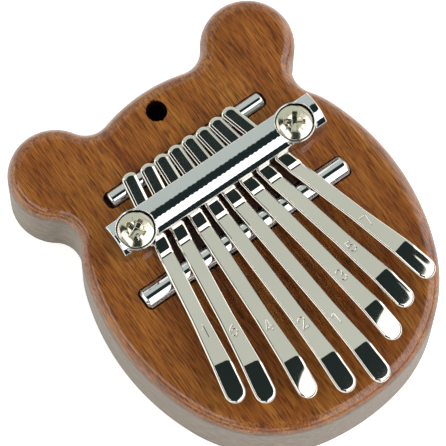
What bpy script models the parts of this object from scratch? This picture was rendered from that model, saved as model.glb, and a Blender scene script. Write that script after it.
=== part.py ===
"""Mini kalimba: a solid wooden body with two ears, two chrome bridge rods let
into routed slots, a chrome pressure bar held by two pan-head screws, and eight
spring-steel tines that fan out towards the player.

Frame: metres, +Z up, origin at the bottom centre of the body, +Y towards the
ears, -Y towards the tine tips, +X to the player's right.

Each tine is made of a shank, clamped between the rods and the bar, and of a
free blade that swings about the front rod.
"""
import math

import bmesh
import bpy
from mathutils import Vector

MM = 0.001

# ---------------------------------------------------------------- dimensions
BODY_T = 21.5            # body thickness
TOP_ROUND = 3.2          # radius round the upper edge
BOTTOM_ROUND = 0.8       # small radius round the lower edge
CROWN_C, CROWN_R = (0.0, 2.572), 37.81   # top of the head between the ears
CHIN_C, CHIN_R = (0.0, 4.83), 51.48      # chin
EAR_C, EAR_R = (26.43, 35.95), 10.70     # right ear, the left one is mirrored
EAR_VALLEY_R = 5.9                       # hollow between crown and ear
NECK_R = 6.26                            # hollow between ear and temple
CHEEK_C, CHEEK_R = (-17.152, -5.163), 54.68   # long flat curve of the right cheek
TEMPLE_R, TEMPLE_END = 21.19, math.radians(20.25)   # its upper end, below the neck
JAW_R = 32.07                            # tighter curve of the jaw
ARC_STEP = math.radians(6.0)

HOLE_C, HOLE_D = (0.3, 34.5), 4.8        # hanging hole between the ears

REAR_ROD_D, REAR_ROD_L = 3.9, 41.3
REAR_ROD_C = (0.45, 23.37, -0.70)        # x, y, height over the wood
FRONT_ROD_D, FRONT_ROD_L = 5.2, 54.95
FRONT_ROD_C = (0.075, 0.05, -0.74)
FRONT_ROD_YAW = math.radians(-0.17)      # the rod lies slightly askew
REAR_CHAMFER, FRONT_CHAMFER = 0.3, 0.55
SLOT_GAP = 0.3                           # slot floor to rod
REAR_SLOT = (-21.4, 21.8, 21.05, 25.65, 1.5)  # x0, x1, y0, y1, corner radius
FRONT_SLOT = (-27.95, 28.1, -3.0, 2.98, 1.3)

BAR_X0, BAR_X1 = -25.6, 28.85
BAR_Y = 13.195
BAR_YAW = math.radians(-0.58)            # so does the bar
BAR_W = 8.03                             # front to back
BAR_WALLS = (5.77, 6.67)                 # height of its front and rear wall over the wood
BAR_CROWN_Y = 0.165                      # middle of the crown, from the middle of the bar
BAR_CROWN_A = (4.18, 4.61)               # reach of the crown's curve to the front and the rear
BAR_CROWN_V = (-3.14, 3.03)              # where the front and the rear chamfer take over
BAR_CROWN_Z, BAR_RISE, BAR_CROWN = 3.7, 4.4, 2.3   # base, height and exponent of the curve
BAR_LIFT = 0.3                           # clearance under its feet
BAR_EDGE = 0.9                           # rounding at its ends
RELIEF_SIDE = 0.3                        # raised underside beside the outer tines
RELIEF_Z = 3.1                           # underside height over the wood
BORE_D = 8.9                             # counterbore for each screw head
BORE_FLOOR = 5.6                         # its floor, over the wood
BOSS_D, BOSS_TOP = 9.5, 6.9              # thickened rim round each counterbore
SCREWS = (                               # name, x, y, turn of the recess
    ("screw_left", -20.43, 13.04, math.radians(26.0)),
    ("screw_right", 22.53, 12.80, math.radians(-36.5)),
)
SCREW_HEAD_D, SCREW_HEAD_H = 8.5, 2.0
SCREW_SHANK_D, SCREW_LEN = 2.9, 15.0     # shank length from under the head
SHANK_HOLE_D = 3.5                       # through the bar and into the wood
PILOT_DEPTH = 12.4

TINE_T = 0.9
TINE_EDGE = 0.2
TINE_GAP = 0.3
# name, x of the rear end's centre line, y of the rear end, fan angle in
# degrees, y of the tip
TINES = (
    ("tine_high1", -13.78, 25.9, -10.28, -31.6),
    ("tine_6", -9.32, 25.3, -8.91, -35.5),
    ("tine_4", -5.68, 25.35, -4.32, -39.9),
    ("tine_2", -2.04, 25.25, -0.85, -43.9),
    ("tine_1", 1.65, 25.3, 2.29, -46.4),
    ("tine_3", 5.27, 25.1, 6.45, -40.0),
    ("tine_5", 8.90, 25.3, 9.67, -35.6),
    ("tine_7", 12.52, 25.6, 14.18, -33.0),
)
W_REAR, W_CREASE, W_TIP = 3.42, 3.6, 4.8  # widths along a tine
REAR_ROUND = 1.4                         # length of the rounding at the rear end
FLARE_START, FLARE_END = 21.0, 4.5       # the blade widens between these distances from its tip
CREASE_Y = 5.2                           # sharp bend in front of the bar
CREASE_Z = 1.25                          # underside height there
DIP_Y = 7.7                              # where the strip starts to dip
BAR_PASS_Z = 1.85                        # underside height below the bar
REAR_PASS_Z = 1.58                       # underside height at the rear rod
ROD_PASS_Z = 2.22                        # underside height over the front rod
BLADE_SLOPE = 0.131                      # rise of the free blade
DROOP_LEN = 9.3                          # bent-down end of each blade
DROOP = {                                # slope, growth, where the growth ends
    "tine_high1": (0.170, 0.0074, 12.0), "tine_6": (0.170, 0.0076, 12.0),
    "tine_4": (0.215, 0.0150, 8.0), "tine_2": (0.170, 0.0080, 12.0),
    "tine_1": (0.170, 0.0080, 12.0), "tine_3": (0.180, 0.0270, 4.6),
    "tine_5": (0.170, 0.0084, 12.0), "tine_7": (0.175, 0.0092, 12.0),
}
SPLIT_Y = -3.4                           # shank ends here
SPLIT_GAP = 0.3                          # and the blade starts this far on


# ------------------------------------------------------------------ helpers
def clean_scene():
    for ob in list(bpy.data.objects):
        bpy.data.objects.remove(ob, do_unlink=True)


def material(name, color, metallic, roughness):
    mat = bpy.data.materials.new(name)
    mat.use_nodes = True
    node = mat.node_tree.nodes["Principled BSDF"]
    node.inputs["Base Color"].default_value = (*color, 1.0)
    node.inputs["Metallic"].default_value = metallic
    node.inputs["Roughness"].default_value = roughness
    return mat


def make_object(name, bm, mat, origin=(0, 0, 0), smooth=40.0):
    """Mesh given in millimetres of the part frame; the origin goes to origin."""
    bmesh.ops.recalc_face_normals(bm, faces=bm.faces)
    me = bpy.data.meshes.new(name)
    org = Vector(origin)
    for v in bm.verts:
        v.co = (v.co - org) * MM
    bm.to_mesh(me)
    bm.free()
    ob = bpy.data.objects.new(name, me)
    ob.location = org * MM
    bpy.context.scene.collection.objects.link(ob)
    me.materials.append(mat)
    for p in me.polygons:
        p.use_smooth = True
    me.set_sharp_from_angle(angle=math.radians(smooth))
    return ob


def loft(rings, closed_ends=True):
    """Closed skin through rings of equal length."""
    bm = bmesh.new()
    vs = [[bm.verts.new(p) for p in ring] for ring in rings]
    n = len(vs[0])
    for a, b in zip(vs[:-1], vs[1:]):
        for i in range(n):
            j = (i + 1) % n
            bm.faces.new((a[i], a[j], b[j], b[i]))
    if closed_ends:
        bm.faces.new(vs[0][::-1])
        bm.faces.new(vs[-1])
    return bm


def prism(outline, z0, z1):
    return loft([[(x, y, z0) for x, y in outline], [(x, y, z1) for x, y in outline]])


def circle(cx, cy, r, n, phase=0.0):
    return [(cx + r * math.cos(phase + 2 * math.pi * i / n),
             cy + r * math.sin(phase + 2 * math.pi * i / n)) for i in range(n)]


def slot(x0, x1, y0, y1, r, n=6):
    """Counter-clockwise outline of a routed slot with rounded corners."""
    pts = []
    for cx, cy, start in ((x1 - r, y0 + r, -0.5), (x1 - r, y1 - r, 0.0),
                          (x0 + r, y1 - r, 0.5), (x0 + r, y0 + r, 1.0)):
        for i in range(n + 1):
            t = math.pi * (start + 0.5 * i / n)
            pts.append((cx + r * math.cos(t), cy + r * math.sin(t)))
    return pts


def turned(pts, centre, yaw):
    """Points turned about the vertical line through centre."""
    c, s = math.cos(yaw), math.sin(yaw)
    out = []
    for p in pts:
        dx, dy = p[0] - centre[0], p[1] - centre[1]
        out.append((centre[0] + dx * c - dy * s, centre[1] + dx * s + dy * c, *p[2:]))
    return out


def boolean(ob, bms, operation="DIFFERENCE"):
    """Cut or join closed meshes, given in millimetres of the part frame."""
    for i, bm in enumerate(bms):
        bmesh.ops.recalc_face_normals(bm, faces=bm.faces)
        me = bpy.data.meshes.new("cut")
        for v in bm.verts:
            v.co = v.co * MM - ob.location
        bm.to_mesh(me)
        bm.free()
        tool = bpy.data.objects.new("cut_tool", me)
        tool.location = ob.location
        bpy.context.scene.collection.objects.link(tool)
        mod = ob.modifiers.new("cut", "BOOLEAN")
        mod.operation = operation
        mod.solver = "EXACT"
        mod.object = tool
        bpy.context.view_layer.update()
        deps = bpy.context.evaluated_depsgraph_get()
        new = bpy.data.meshes.new_from_object(ob.evaluated_get(deps))
        old = ob.data
        ob.modifiers.clear()
        ob.data = new
        bpy.data.meshes.remove(old)
        bpy.data.objects.remove(tool, do_unlink=True)
        bpy.data.meshes.remove(me)
    ob.data.name = ob.name
    for p in ob.data.polygons:
        p.use_smooth = True
    ob.data.set_sharp_from_angle(angle=math.radians(40.0))


# ----------------------------------------------------------- body's outline
def meet(c1, r1, c2, r2, side):
    """Crossing of two circles; side picks the one to the left or right."""
    dx, dy = c2[0] - c1[0], c2[1] - c1[1]
    d = math.hypot(dx, dy)
    a = (r1 * r1 - r2 * r2 + d * d) / (2 * d)
    h = side * math.sqrt(r1 * r1 - a * a)
    return (c1[0] + a * dx / d - h * dy / d, c1[1] + a * dy / d + h * dx / d)


def angle(c, p):
    return math.atan2(p[1] - c[1], p[0] - c[0])


def arc(c, r, a0, a1, clockwise):
    """Points and outward normals; a hollow arc has its normal to its centre."""
    if clockwise:
        while a1 > a0:
            a1 -= 2 * math.pi
    else:
        while a1 < a0:
            a1 += 2 * math.pi
    n = max(2, int(math.ceil(abs(a1 - a0) / ARC_STEP)), int(abs(a1 - a0) * r / 2.6))
    sign = 1 if clockwise else -1
    return [((c[0] + r * math.cos(a0 + (a1 - a0) * i / n),
              c[1] + r * math.sin(a0 + (a1 - a0) * i / n)),
             (sign * math.cos(a0 + (a1 - a0) * i / n),
              sign * math.sin(a0 + (a1 - a0) * i / n))) for i in range(n)]


def body_outline():
    """Clockwise points with outward normals, mirrored about X = 0."""
    valley = meet(CROWN_C, CROWN_R + EAR_VALLEY_R, EAR_C, EAR_R + EAR_VALLEY_R, 1)
    reach = CHEEK_R - TEMPLE_R
    temple = (CHEEK_C[0] + reach * math.cos(TEMPLE_END), CHEEK_C[1] + reach * math.sin(TEMPLE_END))
    neck = max(meet(EAR_C, EAR_R + NECK_R, temple, TEMPLE_R + NECK_R, side) for side in (1, -1))
    jaw = meet(CHEEK_C, CHEEK_R - JAW_R, CHIN_C, CHIN_R - JAW_R, -1)
    half = []
    half += arc(CROWN_C, CROWN_R, math.pi / 2, angle(CROWN_C, valley), True)
    half += arc(valley, EAR_VALLEY_R, angle(valley, CROWN_C), angle(valley, EAR_C), False)
    half += arc(EAR_C, EAR_R, angle(EAR_C, valley), angle(EAR_C, neck), True)
    half += arc(neck, NECK_R, angle(neck, EAR_C), angle(neck, temple), False)
    half += arc(temple, TEMPLE_R, angle(temple, neck), TEMPLE_END, True)
    half += arc(CHEEK_C, CHEEK_R, TEMPLE_END, angle(CHEEK_C, jaw), True)
    half += arc(jaw, JAW_R, angle(CHEEK_C, jaw), angle(CHIN_C, jaw), True)
    half += arc(CHIN_C, CHIN_R, angle(CHIN_C, jaw), -math.pi / 2, True)
    end = [((0.0, CHIN_C[1] - CHIN_R), (0.0, -1.0))]
    left = [((-p[0], p[1]), (-n[0], n[1])) for p, n in reversed(half[1:])]
    return half + end + left


def build_body(mat):
    line = body_outline()

    def ring(inset, z):
        return [(p[0] - n[0] * inset, p[1] - n[1] * inset, z) for p, n in line]

    rings = []
    for i in range(3):
        t = math.pi / 2 * i / 2
        rings.append(ring(BOTTOM_ROUND * (1 - math.sin(t)), BOTTOM_ROUND * (1 - math.cos(t))))
    for i in range(8):
        t = math.pi / 2 * i / 7
        rings.append(ring(TOP_ROUND * (1 - math.cos(t)), BODY_T - TOP_ROUND * (1 - math.sin(t))))
    ob = make_object("body", loft(rings), mat)
    tools = [
        prism(circle(*HOLE_C, HOLE_D / 2, 32), -1.0, BODY_T + 1.0),
        prism(slot(*REAR_SLOT),
              BODY_T + REAR_ROD_C[2] - REAR_ROD_D / 2 - SLOT_GAP, BODY_T + 1.0),
        prism(turned(slot(*FRONT_SLOT), FRONT_ROD_C, FRONT_ROD_YAW),
              BODY_T + FRONT_ROD_C[2] - FRONT_ROD_D / 2 - SLOT_GAP, BODY_T + 1.0),
    ]
    for _, x, y, _ in SCREWS:
        tools.append(prism(circle(x, y, SHANK_HOLE_D / 2, 24),
                           BODY_T - PILOT_DEPTH, BODY_T + 1.0))
    boolean(ob, tools)
    return ob


# -------------------------------------------------------------------- rods
def build_rod(name, d, length, chamfer, centre, mat, yaw=0.0, n=40):
    r = d / 2
    x0 = -length / 2
    rings = []
    for x, rr in ((x0, r - chamfer), (x0 + chamfer, r), (-x0 - chamfer, r), (-x0, r - chamfer)):
        ring = [(centre[0] + x, centre[1] + rr * math.cos(2 * math.pi * i / n),
                 BODY_T + centre[2] + rr * math.sin(2 * math.pi * i / n)) for i in range(n)]
        rings.append(turned(ring, centre, yaw))
    origin = (centre[0], centre[1], BODY_T + centre[2])
    return make_object(name, loft(rings), mat, origin)


# ------------------------------------------------------------ pressure bar
def bar_section(x, inset):
    """Upright walls, a chamfer over each and a crowned top, drawn in by inset."""
    a = BAR_W / 2
    pts = [(-a, BAR_LIFT), (a, BAR_LIFT), (a, BAR_WALLS[1])]
    n = 16
    for i in range(n + 1):
        v = BAR_CROWN_V[1] + (BAR_CROWN_V[0] - BAR_CROWN_V[1]) * i / n
        q = abs(v) / BAR_CROWN_A[1 if v > 0 else 0]
        pts.append((v + BAR_CROWN_Y, BAR_CROWN_Z + BAR_RISE * (1 - q ** BAR_CROWN) ** (1 / BAR_CROWN)))
    pts.append((-a, BAR_WALLS[0]))
    out = []
    for i, (v, z) in enumerate(pts):
        ns = []
        for p, q in ((pts[i - 1], (v, z)), ((v, z), pts[(i + 1) % len(pts)])):
            dv, dz = q[0] - p[0], q[1] - p[1]
            d = math.hypot(dv, dz)
            ns.append((dz / d, -dv / d))
        (n1, m1), (n2, m2) = ns
        k = inset / (1 + n1 * n2 + m1 * m2)
        out.append((x, BAR_Y + v - (n1 + n2) * k, BODY_T + z - (m1 + m2) * k))
    return turned(out, ((BAR_X0 + BAR_X1) / 2, BAR_Y), BAR_YAW)


def build_bar(mat):
    rings = []
    for i in range(4):
        t = math.pi / 2 * i / 3
        rings.append(bar_section(BAR_X0 + BAR_EDGE * (1 - math.sin(t)),
                                 BAR_EDGE * (1 - math.cos(math.pi / 2 - t))))
    for i in range(4):
        t = math.pi / 2 * (3 - i) / 3
        rings.append(bar_section(BAR_X1 - BAR_EDGE * (1 - math.sin(t)),
                                 BAR_EDGE * (1 - math.cos(math.pi / 2 - t))))
    ob = make_object("pressure_bar", loft(rings), mat)
    bosses = []
    for _, x, y, _ in SCREWS:
        rings = [[(p[0], p[1], BODY_T + z) for p in circle(x, y, r, 48)]
                 for r, z in ((BOSS_D / 2 - 0.6, 1.0), (BOSS_D / 2, 2.6), (BOSS_D / 2, BOSS_TOP))]
        bosses.append(loft(rings))
    boolean(ob, bosses, "UNION")
    y0, y1 = BAR_Y - BAR_W, BAR_Y + BAR_W

    def beside(row, side, y):
        """Edge of the outer tine at y, moved out by the side clearance."""
        fan = math.radians(row[3])
        return (row[1] + (row[2] - y) * math.tan(fan)
                + side * (W_CREASE / 2 / math.cos(fan) + RELIEF_SIDE))

    relief = prism([(beside(TINES[0], -1, y0), y0), (beside(TINES[-1], 1, y0), y0),
                    (beside(TINES[-1], 1, y1), y1), (beside(TINES[0], -1, y1), y1)],
                   BODY_T - 1.0, BODY_T + RELIEF_Z)
    tools = [relief]
    for _, x, y, _ in SCREWS:
        tools.append(prism(circle(x, y, BORE_D / 2, 48),
                           BODY_T + BORE_FLOOR, BODY_T + 12.0))
        tools.append(prism(circle(x, y, SHANK_HOLE_D / 2, 24),
                           BODY_T - 1.0, BODY_T + BORE_FLOOR + 1.0))
    boolean(ob, tools)
    return ob


# ------------------------------------------------------------------ screws
def build_screw(name, x, y, turn, mat, n=40):
    """Domed pan head with a cross recess, plain shank and blunt point."""
    z0 = BODY_T + BORE_FLOOR + 0.3
    r = SCREW_HEAD_D / 2
    rs = SCREW_SHANK_D / 2
    prof = [(0.35, z0 - SCREW_LEN), (rs, z0 - SCREW_LEN + 2.6), (rs, z0),
            (r - 0.15, z0), (r, z0 + 0.2), (r - 0.08, z0 + 0.8)]
    rim_z, dome = z0 + 0.8, SCREW_HEAD_H - 0.8
    for i in range(1, 7):
        t = math.pi / 2 * i / 7
        prof.append(((r - 0.08) * math.cos(t), rim_z + dome * math.sin(t)))
    rings = [[(x + q * math.cos(2 * math.pi * i / n), y + q * math.sin(2 * math.pi * i / n), z)
              for i in range(n)] for q, z in prof]
    ob = make_object(name, loft(rings), mat, (x, y, z0))
    top = z0 + SCREW_HEAD_H
    tools = []
    for k in range(2):
        c, s = math.cos(turn + k * math.pi / 2), math.sin(turn + k * math.pi / 2)
        wide, deep = 0.55, 1.5
        lower = [(-1.0, -wide * 0.7), (1.0, -wide * 0.7), (1.0, wide * 0.7), (-1.0, wide * 0.7)]
        upper = [(-2.35, -wide), (2.35, -wide), (2.35, wide), (-2.35, wide)]
        tools.append(loft([[(x + u * c - v * s, y + u * s + v * c, top - deep) for u, v in lower],
                           [(x + u * c - v * s, y + u * s + v * c, top + 0.4) for u, v in upper]]))
    boolean(ob, tools)
    return ob


# ------------------------------------------------------------------- tines
def tine_z(y):
    """Underside height over the wood of the straight tine at y."""
    knots = ((30.0, REAR_PASS_Z - 0.03), (23.4, REAR_PASS_Z), (9.0, BAR_PASS_Z),
             (DIP_Y, BAR_PASS_Z), (CREASE_Y, CREASE_Z), (FRONT_ROD_C[1], ROD_PASS_Z))
    for (ya, za), (yb, zb) in zip(knots[:-1], knots[1:]):
        if y >= yb:
            return za + (zb - za) * (ya - y) / (ya - yb)
    return ROD_PASS_Z + (FRONT_ROD_C[1] - y) * BLADE_SLOPE


def tine_width(y, y_tip):
    if y > CREASE_Y:
        return W_REAR + (W_CREASE - W_REAR) * min(1.0, (25.0 - y) / (25.0 - CREASE_Y))
    t = (FLARE_START - (y - y_tip)) / (FLARE_START - FLARE_END)
    return W_CREASE + (W_TIP - W_CREASE) * max(0.0, min(1.0, t))


def droop(name, u):
    """Drop of the bent-down end at u past its bend."""
    a, b, straight = DROOP[name]
    v = min(u, straight)
    return a * u + b * (v * v + 2 * v * (u - v))


def tine_rings(name, x_rear, y_rear, fan, y_tip, y_from, y_to):
    """Sections parallel to X from y_from down to y_to, with round ends."""
    tan, cos = math.tan(fan), math.cos(fan)
    r_rear, r_tip = W_REAR / 2, W_TIP / 2

    def centre(y):
        return x_rear + (y_rear - y) * tan

    cy_rear, cy_tip = y_rear - REAR_ROUND, y_tip + r_tip
    cx_rear, cx_tip = centre(cy_rear), centre(cy_tip)

    def edges(y):
        h = tine_width(y, y_tip) / 2 / cos
        xs = []
        for side in (-1, 1):
            x = centre(y) + side * h
            # the round ends take over past their tangent points
            if y > cy_rear + side * REAR_ROUND * math.sin(fan):
                q = max(0.0, 1.0 - ((y - cy_rear) / REAR_ROUND) ** 2)
                x = cx_rear + side * r_rear * math.sqrt(q)
            if y < cy_tip + side * r_tip * math.sin(fan):
                q = max(0.0, r_tip ** 2 - (y - cy_tip) ** 2)
                x = cx_tip + side * math.sqrt(q)
            xs.append(x)
        return xs

    ys = {y_from, y_to, cy_rear, cy_tip}
    for y in (CREASE_Y, DIP_Y, 9.0, 15.0, 6.4, FRONT_ROD_C[1], FRONT_ROD_C[1] + 2.0):
        ys.add(y)
    for i in range(1, 7):
        t = math.pi / 2 * i / 6
        ys.add(cy_rear + REAR_ROUND * math.sin(t))
        ys.add(cy_tip - r_tip * math.sin(t))
    for i in range(8):
        ys.add(y_tip + r_tip + (DROOP_LEN - r_tip) * i / 7)
    ys.add((y_tip + DROOP_LEN + SPLIT_Y) / 2)
    ys.update(y_tip + d for d in (FLARE_END, FLARE_START))
    ys = sorted((y for y in ys if y_to - 1e-9 <= y <= y_from + 1e-9), reverse=True)
    keep = [ys[0]]
    for y in ys[1:]:
        if keep[-1] - y > 0.02:
            keep.append(y)
    rings = []
    for y in keep:
        xl, xr = edges(y)
        if xr - xl < 0.5:
            m = (xl + xr) / 2
            xl, xr = m - 0.25, m + 0.25
        u = max(0.0, (y_tip + DROOP_LEN - y) / cos)
        zb = BODY_T + tine_z(y) - droop(name, u)
        zt = zb + TINE_T
        c = min(TINE_EDGE, (xr - xl) * 0.2)
        rings.append([(xl, y, zb + c), (xl, y, zt - c), (xl + c, y, zt), (xr - c, y, zt),
                      (xr, y, zt - c), (xr, y, zb + c), (xr - c, y, zb), (xl + c, y, zb)])
    return rings


def build_tine(name, x_rear, y_rear, fan_deg, y_tip, mat):
    fan = math.radians(fan_deg)
    pivot_y = FRONT_ROD_C[1]
    px = x_rear + (y_rear - pivot_y) * math.tan(fan)
    pivot = (px, pivot_y, BODY_T + ROD_PASS_Z)
    shank = loft(tine_rings(name, x_rear, y_rear, fan, y_tip, y_rear, SPLIT_Y))
    ob1 = make_object(name + "_shank", shank, mat, pivot)
    blade = loft(tine_rings(name, x_rear, y_rear, fan, y_tip, SPLIT_Y - SPLIT_GAP, y_tip))
    ob2 = make_object(name + "_blade", blade, mat, pivot)
    return ob1, ob2


def main():
    clean_scene()
    wood = material("body_wood", (0.36, 0.14, 0.05), 0.0, 0.42)
    build_body(wood)
    build_rod("rear_rod", REAR_ROD_D, REAR_ROD_L, REAR_CHAMFER, REAR_ROD_C,
              material("rear_rod_chrome", (0.78, 0.79, 0.80), 1.0, 0.08))
    build_rod("front_rod", FRONT_ROD_D, FRONT_ROD_L, FRONT_CHAMFER, FRONT_ROD_C,
              material("front_rod_chrome", (0.78, 0.79, 0.80), 1.0, 0.08), FRONT_ROD_YAW)
    build_bar(material("pressure_bar_chrome", (0.80, 0.81, 0.82), 1.0, 0.06))
    for name, x, y, turn in SCREWS:
        build_screw(name, x, y, turn, material(name + "_nickel", (0.72, 0.71, 0.68), 1.0, 0.15))
    for row in TINES:
        build_tine(*row, material(row[0] + "_steel", (0.70, 0.70, 0.68), 1.0, 0.2))


main()
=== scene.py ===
import math

import bmesh
import bpy
import numpy as np
from mathutils import Matrix, Vector
from mathutils.geometry import delaunay_2d_cdt


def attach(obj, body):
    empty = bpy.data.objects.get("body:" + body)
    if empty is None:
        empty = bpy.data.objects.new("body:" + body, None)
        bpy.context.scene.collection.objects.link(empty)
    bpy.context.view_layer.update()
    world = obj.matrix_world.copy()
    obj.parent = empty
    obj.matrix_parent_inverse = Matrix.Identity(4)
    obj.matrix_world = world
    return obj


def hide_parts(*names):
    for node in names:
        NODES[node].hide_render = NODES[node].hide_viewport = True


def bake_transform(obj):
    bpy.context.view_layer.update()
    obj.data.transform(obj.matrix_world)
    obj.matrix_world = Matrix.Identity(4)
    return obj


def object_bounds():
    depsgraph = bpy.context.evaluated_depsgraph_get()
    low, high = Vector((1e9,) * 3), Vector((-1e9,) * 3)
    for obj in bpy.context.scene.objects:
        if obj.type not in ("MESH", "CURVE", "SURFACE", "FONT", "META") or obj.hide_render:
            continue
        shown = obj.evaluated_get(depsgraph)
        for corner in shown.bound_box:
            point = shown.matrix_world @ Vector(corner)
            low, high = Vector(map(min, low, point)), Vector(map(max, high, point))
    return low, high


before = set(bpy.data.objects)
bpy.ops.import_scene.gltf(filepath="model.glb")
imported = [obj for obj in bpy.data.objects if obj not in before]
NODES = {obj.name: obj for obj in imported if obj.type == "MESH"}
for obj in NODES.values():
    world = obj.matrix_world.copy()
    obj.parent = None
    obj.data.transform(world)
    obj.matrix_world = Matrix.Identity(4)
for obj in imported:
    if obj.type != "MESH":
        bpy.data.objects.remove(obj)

CAD_BOX = [list(map(float, c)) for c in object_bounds()]
MM = 0.001

# Dimensions in millimetres. Heights are over the wood's top face, at BODY_T.
BODY_T, TOP_ROUND, BOTTOM_ROUND = 21.5, 3.2, 0.8
CROWN_C, CROWN_R = (0.0, 2.572), 37.81
CHIN_C, CHIN_R = (0.0, 4.83), 51.48
EAR_C, EAR_R, EAR_VALLEY_R = (26.43, 35.95), 10.70, 5.9
NECK_R = 6.26
CHEEK_C, CHEEK_R = (-17.152, -5.163), 54.68
TEMPLE_R, TEMPLE_END = 21.19, math.radians(20.25)
JAW_R = 32.07
HOLE_C, HOLE_D = (0.3, 34.5), 4.8
REAR_ROD_D, REAR_ROD_L, REAR_ROD_C = 3.9, 41.3, (0.45, 23.37, -0.70)
FRONT_ROD_D, FRONT_ROD_L, FRONT_ROD_C = 5.2, 54.95, (0.075, 0.05, -0.74)
FRONT_ROD_YAW = math.radians(-0.17)
REAR_SLOT = (-21.4, 21.8, 21.05, 25.65, 1.5)
FRONT_SLOT = (-27.95, 28.1, -3.0, 2.98, 1.3)
BAR_X0, BAR_X1, BAR_Y, BAR_YAW = -25.6, 28.85, 13.195, math.radians(-0.58)
BAR_W, BAR_WALLS, BAR_LIFT, BAR_EDGE = 8.03, (5.77, 6.67), 0.3, 1.0
BAR_CROWN_Y, BAR_CROWN_A, BAR_CROWN_V = 0.165, (4.18, 4.61), (-3.14, 3.03)
BAR_CROWN_Z, BAR_RISE, BAR_CROWN = 3.7, 4.4, 2.3
BAR_C = ((BAR_X0 + BAR_X1) / 2, BAR_Y)
RELIEF_SIDE, RELIEF_Z = 0.3, 3.1
BORE_D, BORE_FLOOR, BOSS_D, BOSS_TOP = 8.9, 5.6, 9.5, 6.9
SCREWS = (("screw_left", -20.43, 13.04, math.radians(26.0)),
          ("screw_right", 22.53, 12.80, math.radians(-36.5)))
HEAD_D, HEAD_H, SHANK_D, SCREW_LEN = 8.5, 2.0, 2.9, 15.0
SHANK_HOLE_D, PILOT_DEPTH = 3.5, 12.4
TINE_T = 0.9
# name, x and y of the rear end, fan angle, y of the tip, digit, y of the digit
TINES = (
    ("tine_high1", -13.78, 25.9, -10.28, -31.6, "1", -14.5),
    ("tine_6", -9.32, 25.3, -8.91, -35.5, "6", -17.8),
    ("tine_4", -5.68, 25.35, -4.32, -39.9, "4", -21.4),
    ("tine_2", -2.04, 25.25, -0.85, -43.9, "2", -25.4),
    ("tine_1", 1.65, 25.3, 2.29, -46.4, "1", -28.8),
    ("tine_3", 5.27, 25.1, 6.45, -40.0, "3", -21.4),
    ("tine_5", 8.90, 25.3, 9.67, -35.6, "5", -17.3),
    ("tine_7", 12.52, 25.6, 14.18, -33.0, "7", -14.4),
)
W_REAR, W_TIP, REAR_ROUND = 3.58, 4.8, 1.4
FLARE_START, FLARE_END = 21.0, 4.5
# underside of a tine: (y, height), from the rear end to the front rod
PROFILE = ((30.0, 1.55), (23.4, 1.58), (10.1, 1.93), (9.15, 1.56), (6.35, 1.50), (5.35, 1.10),
           (FRONT_ROD_C[1], 2.22))
BLADE_SLOPE = 0.131
DROOP_LEN = 9.3
# slope, growth, skew to the right, where the growth ends, place and height of a side dent
TIP_BEND = {
    "tine_high1": (0.170, 0.0074, 0.02, 12.0, 0.0, 0.0), "tine_6": (0.170, 0.0076, 0.02, 12.0, 0.0, 0.0),
    "tine_4": (0.205, 0.0128, 0.34, 8.0, 0.0, 0.0), "tine_2": (0.170, 0.0080, 0.05, 12.0, 0.0, 0.0),
    "tine_1": (0.170, 0.0080, 0.05, 12.0, 0.0, 0.0), "tine_3": (0.172, 0.0225, 0.12, 4.8, 0.0, 0.0),
    "tine_5": (0.170, 0.0084, 0.03, 12.0, 1.35, 0.10), "tine_7": (0.175, 0.0092, 0.04, 12.0, 0.45, 0.105),
}


# ---------------------------------------------------------------- node tools
def new_material(name):
    mat = bpy.data.materials.new(name)
    mat.use_nodes = True
    mat.node_tree.nodes.clear()
    return mat, mat.node_tree.nodes, mat.node_tree.links


def add(nodes, kind, inputs=None, **values):
    n = nodes.new(kind)
    for k, v in values.items():
        setattr(n, k, v)
    for k, v in (inputs or {}).items():
        n.inputs[k].default_value = v
    return n


def ramp(nodes, stops):
    """Colour ramp through (position, colour or grey level)."""
    n = nodes.new("ShaderNodeValToRGB")
    el = n.color_ramp.elements
    while len(el) < len(stops):
        el.new(0.5)
    for e, (pos, col) in zip(el, stops):
        e.position = pos
        e.color = (*col, 1.0) if isinstance(col, tuple) else (col, col, col, 1.0)
    return n


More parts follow.
